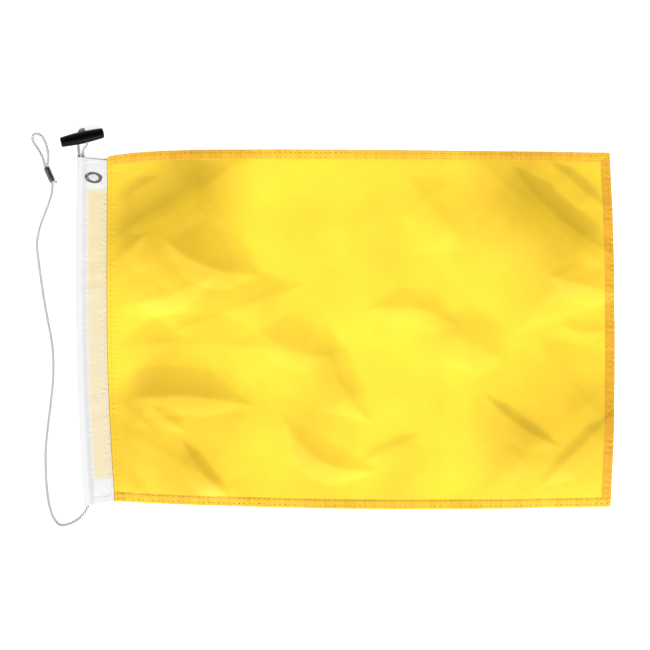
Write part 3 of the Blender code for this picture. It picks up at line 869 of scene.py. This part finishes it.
def cloth_z(x, y):
    """Top of the field's cloth: folds, puckers along the hoist seam, and its tuck into the heading."""
    x, y = np.asarray(x, float), np.asarray(y, float)
    from_seam = x - hoist_x(y)
    folds = sample(RELIEF, x, y) * smooth((from_seam - SEAM_MARGIN) / SEAM_RAMP)
    beyond = np.maximum(from_seam - SEAM_STRIP, 0.0)
    fading = np.exp(-beyond / PUCKER_REACH) * (from_seam > SEAM_STRIP)
    pucker = PUCKER_HEIGHT * uneven(y, PUCKER_PITCH) * fading
    groove = -GROOVE_DEPTH * np.exp(-((from_seam - SEAM_STRIP) / GROOVE_REACH) ** 2)
    tuck = (FIELD_PLY_Z - CLOTH_TOP) * (1 - smooth((from_seam + SEAM_MARGIN) / TUCK_RAMP))
    past_seam = smooth(from_seam / STEP_RAMP)
    return CLOTH_TOP + tuck + folds + (CLOTH_TOP + pucker + groove) * past_seam


# ---- field

FIELD_COLUMNS = 380
FIELD_ROWS = 270
CLOTH = 0.00014
TUCK_COLUMNS = 9
TUCK_REACH = 0.0136
TUCK_INSET = 0.0012
# Painted light and shade in the cloth's colour: painted palest where it lies close on the floor, and
# painted deepest where it stands off
CLOSE_PAINTED_LIGHT = 0.34
STAND_OFF_PAINTED_SHADE = 0.62
STAND_OFF_FULL = 0.010


def tucked_places(t):
    """Places of the raw edge inside the heading, from its edge outward to the seam."""
    rows = []
    for reach in np.linspace(TUCK_REACH, 0, TUCK_COLUMNS, endpoint=False):
        across = HEADING_WIDTH - reach
        inset = HEADING_END_SLOPE * across + TUCK_INSET
        inner_y = (HEADING_HEAD_Y - inset) * (1 - t) + (HEADING_FOOT_Y + inset) * t
        y = inner_y + (hoist_edge(t)[:, 1] - inner_y) * (1 - reach / TUCK_REACH) ** 2
        rows.append(np.column_stack([hoist_x(y) - reach, y]))
    return rows


def painted_stand_off_shade(tone, x, y):
    """Painted shade: the tone of cloth that lies flat, painted deeper by how far it stands off the
    floor.
    """
    return tone - STAND_OFF_PAINTED_SHADE * np.clip(sample(RELIEF, x, y) / STAND_OFF_FULL, 0, 1)


def build_field():
    """The field's cloth: one thin sheet from inside the heading to the fly."""
    t = np.linspace(0, 1, FIELD_ROWS)
    columns = tucked_places(t)
    columns += [plan(np.full(FIELD_ROWS, s), t) for s in np.linspace(0, 1, FIELD_COLUMNS)]
    places = np.stack(columns)                       # column, row, (x, y)
    x, y = places[..., 0], places[..., 1]
    z = np.where(x < hoist_x(y) - 1e-6, FIELD_PLY_Z, cloth_z(x, y))
    top = np.stack([x, y, z], axis=-1)
    under = top - np.array((0, 0, CLOTH))
    count = x.size
    faces = grid_faces(*x.shape, flip=True) + grid_faces(*x.shape, offset=count)
    grid = np.arange(count).reshape(x.shape)
    rim = np.concatenate([grid[:, 0], grid[-1, 1:], grid[-2::-1, -1], grid[0, -2:0:-1]]).tolist()
    faces += [(a, b, b + count, a + count) for a, b in zip(rim, rim[1:] + rim[:1])]
    verts = np.concatenate([top.reshape(-1, 3), under.reshape(-1, 3)])
    piece = mesh_piece("field_cloth", verts, faces, FIELD_NYLON, verts[:, :2])
    # The cloth's painted light and shade, from its height over the floor
    painted_light_and_shade = painted_stand_off_shade(CLOSE_PAINTED_LIGHT, x, y).ravel()
    point_values(piece, "painted_light_and_shade", np.concatenate([painted_light_and_shade, painted_light_and_shade]))
    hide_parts("field_panel", "hoist_allowance")
    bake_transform(piece)
    return piece


# Cross-section of a hem: how far in from the fold, and how high over the cloth, in metres
HEM_SECTION = (
    (0.0087, -0.00008), (0.0082, 0.00003), (0.0078, 0.00008), (0.00735, 0.00014),
    (0.0069, 0.0002), (0.0062, 0.0003), (0.005, 0.00038), (0.0038, 0.00041), (0.0031, 0.00038),
    (0.0026, 0.00033), (0.002, 0.00038), (0.0012, 0.00044), (0.0005, 0.00042),
    (0.00012, 0.00036), (0, 0.0001), (0.0002, -0.00022), (0.0009, -0.0003), (0.0084, -0.0003))
# Rows of stitches: how far in from the fold, and how high over the cloth
HEM_ROWS = ((0.0026, 0.00050), (0.0069, 0.00030))
HEM_STITCH_PITCH = 0.0043
HEM_STITCH_ENDS = 0.008
HEM_STEP = 0.0007
HEM_LOWEST = 0.00005
HEM_RUFFLE = 0.00020
# Puffs of the hem's raised top; those of its inner part have another start and pitch
HEM_PUFF = 0.36
HEM_RAISED = 0.0003
HEM_OUTER_PART = 0.003
INNER_PUFF = (0.013, 1.31)
# Unevenness of the hem's tone: its strength and its two wavelengths
HEM_MOTTLE = (0.09, 0.031, 0.0113)


def edge_length(edge):
    return path_run(edge(np.linspace(0, 1, 50)))[-1]


def build_hem(side, edge, inward, tone):
    """A folded hem: a puffed band round the cloth's edge, drawn in at its stitches."""
    places = edge(np.linspace(0, 1, int(edge_length(edge) / HEM_STEP)))
    run = path_run(places)
    inward = np.array(inward, float)
    wave = uneven(run, PUCKER_PITCH)
    cross_wave = uneven(run + INNER_PUFF[0], PUCKER_PITCH * INNER_PUFF[1])
    sections, uvs = [], []
    for inset, rise in HEM_SECTION:
        shift = inset + HEM_RUFFLE * wave * (1 - inset / HEM_WIDTH)
        place = places + inward * shift[:, None]
        puffs = wave if inset < HEM_OUTER_PART else cross_wave
        puff = 1 + (HEM_PUFF * puffs if rise > HEM_RAISED else 0.0)
        z = cloth_z(place[:, 0], place[:, 1]) + rise * puff
        sections.append(np.column_stack([place, np.maximum(z, HEM_LOWEST)]))
        uvs.append(np.column_stack([run, np.full(len(run), inset)]))
    sections = np.stack(sections, axis=1)
    piece = mesh_piece(side + "_hem_fold", sections.reshape(-1, 3), tube_faces(*sections.shape[:2]),
                       HEM_NYLON, np.stack(uvs, axis=1).reshape(-1, 2))
    strength, long_wave, short_wave = HEM_MOTTLE
    mottle = strength * np.sin(2 * np.pi * run / long_wave) * np.sin(2 * np.pi * run / short_wave + 1.0)
    # Painted shade by how far the hem stands off the floor, over its side's painted tone, with an
    # uneven mottle
    painted_light_and_shade = painted_stand_off_shade(tone, *places.T) + mottle
    point_values(piece, "painted_light_and_shade", np.repeat(painted_light_and_shade, len(HEM_SECTION)))
    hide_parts(side + "_hem")
    return piece


STITCH_LENGTH = 0.0027
THREAD_RADIUS = 0.00018
THREAD_SIDES = 6
# Rings of one stitch: place in half lengths, then radius and rise in radii of the thread
STITCH_RINGS = ((-1.0, 0.25, -1.2), (-0.8, 0.85, -0.1), (0.0, 1.0, 0.35), (0.8, 0.85, -0.1),
                (1.0, 0.25, -1.2))


def stitch_mesh(name, rows, finish, length=STITCH_LENGTH):
    """Separate lockstitches: each a short thread that dips into the cloth at both ends."""
    verts, faces = [], []
    for places, ways in rows:
        for place, way in zip(places, ways):
            way = way / np.linalg.norm(way)
            side = np.array((-way[1], way[0], 0.0))
            offset = len(verts)
            for along, scale, rise in STITCH_RINGS:
                for turn in turns(THREAD_SIDES):
                    verts.append(place + way * along * length / 2
                                 + side * THREAD_RADIUS * scale * math.cos(turn)
                                 + np.array((0, 0, THREAD_RADIUS * (rise + scale * math.sin(turn)))))
            faces += tube_faces(len(STITCH_RINGS), THREAD_SIDES, offset)
    return mesh_piece(name, np.array(verts), faces, finish)


def stitch_row(x, y, z):
    """Places of a row of stitches, and the way that each of them runs."""
    points = np.column_stack([x, y, z])
    return points, np.gradient(points, axis=0)


def hem_stitches(edge, inward):
    t = np.linspace(HEM_STITCH_ENDS, 1 - HEM_STITCH_ENDS, int(edge_length(edge) / HEM_STITCH_PITCH))
    rows = []
    for inset, rise in HEM_ROWS:
        x, y = (edge(t) + np.array(inward, float) * inset).T
        rows.append(stitch_row(x, y, cloth_z(x, y) + rise))
    return rows


# Each hem's edge, the way inward from it, and how pale its doubled cloth is painted where it lies flat:
# painted light and shade, palest on the foot hem and deepest on the fly hem
HEMS = {"head": (head_edge, (0, -1), 0.26), "foot": (foot_edge, (0, 1), 0.36),
        "fly": (fly_edge, (-1, 0), 0.00)}
field_cloth = build_field()
for side, (edge, inward, tone) in HEMS.items():
    band = build_hem(side, edge, inward, tone)
    stitches = stitch_mesh(side + "_hem_stitches", hem_stitches(edge, inward), HEM_THREAD)
    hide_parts(side + "_hem_thread")
    for piece in (band, stitches):
        if side == "fly":
            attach(piece, "field")
        else:
            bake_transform(piece)


# ---- heading

HEADING_LENGTH = HEADING_HEAD_Y - HEADING_FOOT_Y
HEADING_ROWS = 420
HOIST_SEAM_INNER = 0.0222
HOIST_SEAM_OUTER = 0.0248
# Each seam draws the tape down, and lets it puff up unevenly beside it
SEAM_DIP = 0.00022
SEAM_DIP_REACH = 0.0006
SEAM_PUFF = 0.00010
SEAM_PUFF_REACH = 0.0022
SEAM_PUFF_PITCH = 0.0052
EDGE_FALL_START = 0.0230
EDGE_FALL_RAMP = 0.0034
TAPE_WRINKLE = 0.00010
TAPE_WRINKLE_PITCH = 0.0190
TURNED_DROP = 0.00050
TURNED_RAMP = 0.0008
# Where the yellow shows through the tape: its start from the head, its end from the foot, and
# where it gets a little fainter
SHOW_ACROSS_RAMP = 0.0016
SHOW_START, SHOW_START_RAMP = 0.024, 0.006
SHOW_END, SHOW_END_RAMP = 0.020, 0.004
FAINTER_FROM, FAINTER_RAMP, FAINTER_BY = 0.112, 0.001, 0.15
FRONT_PLACES = np.concatenate([np.linspace(HEADING_WIDTH, SLEEVE_SEAM + 0.001, 26),
                               np.linspace(SLEEVE_SEAM + 0.0004, SLEEVE_CREST, 22)])


def front_z(across, distance):
    """Middle of the heading's front ply: flat over the seam, domed over the rope."""
    t = np.clip((SLEEVE_SEAM - across) / (SLEEVE_SEAM - SLEEVE_CREST), 0, 1)
    z = FRONT_PLY_Z + (SLEEVE_TOP_Z - FRONT_PLY_Z) * t * t * (3 - 2 * t)
    for seam in (SLEEVE_SEAM, HOIST_SEAM_INNER, HOIST_SEAM_OUTER):
        z = z - SEAM_DIP * np.exp(-((across - seam) / SEAM_DIP_REACH) ** 2)
        beside = np.exp(-((across - seam) / SEAM_PUFF_REACH) ** 2)
        z = z + SEAM_PUFF * beside * uneven(distance + 3 * seam, SEAM_PUFF_PITCH)
    z = z - (FRONT_PLY_Z - FRONT_EDGE_Z) * smooth((across - EDGE_FALL_START) / EDGE_FALL_RAMP)
    wrinkle = TAPE_WRINKLE * uneven(distance + 0.3 * across, TAPE_WRINKLE_PITCH)
    return z + wrinkle * np.sin(np.pi * across / HEADING_WIDTH)


def heading_place(across, distance):
    """Plan of the heading: across from its folded edge, and distance down from its head."""
    head_y = HEADING_HEAD_Y - HEADING_END_SLOPE * across
    foot_y = HEADING_FOOT_Y + HEADING_END_SLOPE * across
    share = distance / HEADING_LENGTH
    y = head_y + (foot_y - head_y) * share
    return hoist_x(y) - HEADING_WIDTH + across, y


def heading_section():
    """Across and height, from the front edge round to the back; the front ply's height is None."""
    section = [(across, None) for across in FRONT_PLACES]
    reach = SLEEVE_CREST - TAPE / 2
    middle = (SLEEVE_TOP_Z + TAPE / 2) / 2
    half = (SLEEVE_TOP_Z - TAPE / 2) / 2
    for angle in np.linspace(90, 270, 17)[1:]:
        turn = math.radians(angle)
        section.append((SLEEVE_CREST + reach * math.cos(turn), middle + half * math.sin(turn)))
    section += [(across, TAPE / 2) for across in np.linspace(SLEEVE_CREST, HEADING_WIDTH, 12)[1:]]
    return section


def build_heading():
    """The tape as one folded strip, thickened to its own thickness."""
    distance = np.linspace(0, HEADING_LENGTH, HEADING_ROWS)
    from_end = np.minimum(distance, HEADING_LENGTH - distance)
    turned = TURNED_DROP * (1 - smooth(from_end / TURNED_RAMP))
    ends = (smooth((distance - SHOW_START) / SHOW_START_RAMP)
            * smooth((HEADING_LENGTH - SHOW_END - distance) / SHOW_END_RAMP))
    step = 1 - FAINTER_BY * smooth((distance - FAINTER_FROM) / FAINTER_RAMP)
    rows, uvs, through = [], [], []
    for across, height in heading_section():
        x, y = heading_place(across, distance)
        if height is None:
            z = front_z(across, distance) - turned * float(across > SLEEVE_SEAM)
            show = smooth((across - SLEEVE_SEAM) / SHOW_ACROSS_RAMP)
        else:
            z = np.full(HEADING_ROWS, height)
            show = 0.0
        rows.append(np.column_stack([x, y, z]))
        uvs.append(np.column_stack([np.full(HEADING_ROWS, across), distance]))
        through.append(show * ends * step)
    verts = np.stack(rows).reshape(-1, 3)
    faces = grid_faces(len(rows), HEADING_ROWS)
    piece = mesh_piece("heading_tape", verts, faces, CANVAS, np.concatenate(uvs))
    point_values(piece, "show_through", np.concatenate(through))
    thicken = piece.modifiers.new("ply", "SOLIDIFY")
    thicken.thickness = TAPE
    thicken.offset = 0.0
    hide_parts("heading", "head_turn_in", "foot_turn_in")
    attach(piece, "heading")


HEADING_STITCH_PITCH = 0.0036
SEAM_ROW_INSET = 0.003
END_ROW_INSET = 0.006
END_ROW = np.linspace(SLEEVE_SEAM + 0.002, 0.0205, 4)
SEAM_ROW = np.linspace(SEAM_ROW_INSET, HEADING_LENGTH - SEAM_ROW_INSET,
                       int((HEADING_LENGTH - 2 * SEAM_ROW_INSET) / HEADING_STITCH_PITCH))
# Each row of stitches: its node, its places across the heading, and its places down it
HEADING_SEAMS = {
    "sleeve_seam": ("sleeve_seam_thread", SLEEVE_SEAM, SEAM_ROW),
    "hoist_seam_outer": ("hoist_seam_thread_outer", HOIST_SEAM_OUTER, SEAM_ROW),
    "hoist_seam_inner": ("hoist_seam_thread_inner", HOIST_SEAM_INNER, SEAM_ROW),
    "head_end": ("head_end_thread", END_ROW, END_ROW_INSET),
    "foot_end": ("foot_end_thread", END_ROW, HEADING_LENGTH - END_ROW_INSET),
}
# The row on the field: the shares of the hoist where it starts and ends, and its stitches
HOIST_ROW = (0.012, 0.985, 66)
HOIST_ROW_RISE = 0.0002
HOIST_STITCH_LENGTH = 0.0016


def build_heading_stitches():
    for name, (node, across, distance) in HEADING_SEAMS.items():
        x, y = heading_place(across, distance)
        row = stitch_row(x, y, front_z(across, distance) + TAPE / 2)
        piece = stitch_mesh(name + "_stitches", [row], HEADING_THREAD)
        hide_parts(node)
        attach(piece, "heading")


def build_hoist_stitches():
    """The row of stitches on the field's side of the hoist seam, where its cloth puckers."""
    x, y = (hoist_edge(np.linspace(*HOIST_ROW)) + np.array((SEAM_STRIP, 0.0))).T
    row = stitch_row(x, y, cloth_z(x, y) + HOIST_ROW_RISE)
    piece = stitch_mesh("hoist_field_stitches", [row], HEM_THREAD, length=HOIST_STITCH_LENGTH)
    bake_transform(piece)


build_heading()
build_heading_stitches()
build_hoist_stitches()


# ---- toggle and kept CAD pieces

# CAD nodes that are kept as they are, each with a better material
for name, finish, slot in (("toggle", TOGGLE_BLACK, "toggle_plastic"), ("sleeve_rope", CORD, "rope"),
                           ("becket_return", CORD, "rope"), ("becket_ferrule", METAL, "ferrule_metal")):
    for place in frame["nodes"][name].material_slots:
        place.material = finish


# ---- floor and light

def build_floor():
    size, z, glow = 6.0, -0.0002, 0.68
    verts = [(-size, -size, z), (size, -size, z), (size, size, z), (-size, size, z)]
    white = new_material("floor_white", (0.90, 0.90, 0.90), 0.8, Emission_Strength=glow,
                         Emission_Color=(1.0, 1.0, 1.0, 1.0))[0]
    floor = mesh_piece("floor", verts, [(0, 1, 2, 3)], white)


# Each sun: energy, softness in degrees, and the direction toward it
SUNS = {"key": (4.2, 18, (-0.12, -0.82, 0.56)), "fill": (0.8, 30, (0.52, -0.74, 0.42))}

# The dark patch in the sky: its direction, the cosines of the angles between which it darkens,
# and its colour
DARK_PATCH = Vector((0.28, 0.08, 0.96)).normalized()
PATCH_START = 0.83
PATCH_FULL = 0.90
PATCH_COLOUR = (0.02, 0.02, 0.02)
SKY_STRENGTH = 0.58


def build_light():
    """Suns and an even sky with a dark patch high on the right, which metal and plastic reflect."""
    world = bpy.data.worlds.new("studio")
    world.use_nodes = True
    background = world.node_tree.nodes["Background"]
    tree = world.node_tree
    toward_patch = tree.nodes.new("ShaderNodeVectorMath")
    toward_patch.operation = "DOT_PRODUCT"
    tree.links.new(tree.nodes.new("ShaderNodeTexCoord").outputs["Generated"], toward_patch.inputs[0])
    toward_patch.inputs[1].default_value = DARK_PATCH
    sky = colour_ramp(tree, toward_patch.outputs["Value"], (PATCH_START, (1.0, 1.0, 1.0)),
                      (PATCH_FULL, PATCH_COLOUR))
    tree.links.new(sky, background.inputs["Color"])
    set_inputs(background, Strength=SKY_STRENGTH)
    bpy.context.scene.world = world
    for name, (energy, softness, toward) in SUNS.items():
        data = bpy.data.lights.new(name, "SUN")
        data.energy = energy
        data.angle = math.radians(softness)
        sun = bpy.data.objects.new(name, data)
        sun.rotation_euler = Vector(toward).to_track_quat("Z", "Y").to_euler()
        bpy.context.scene.collection.objects.link(sun)
    bpy.context.scene.view_settings.view_transform = "Standard"


build_floor()
build_light()
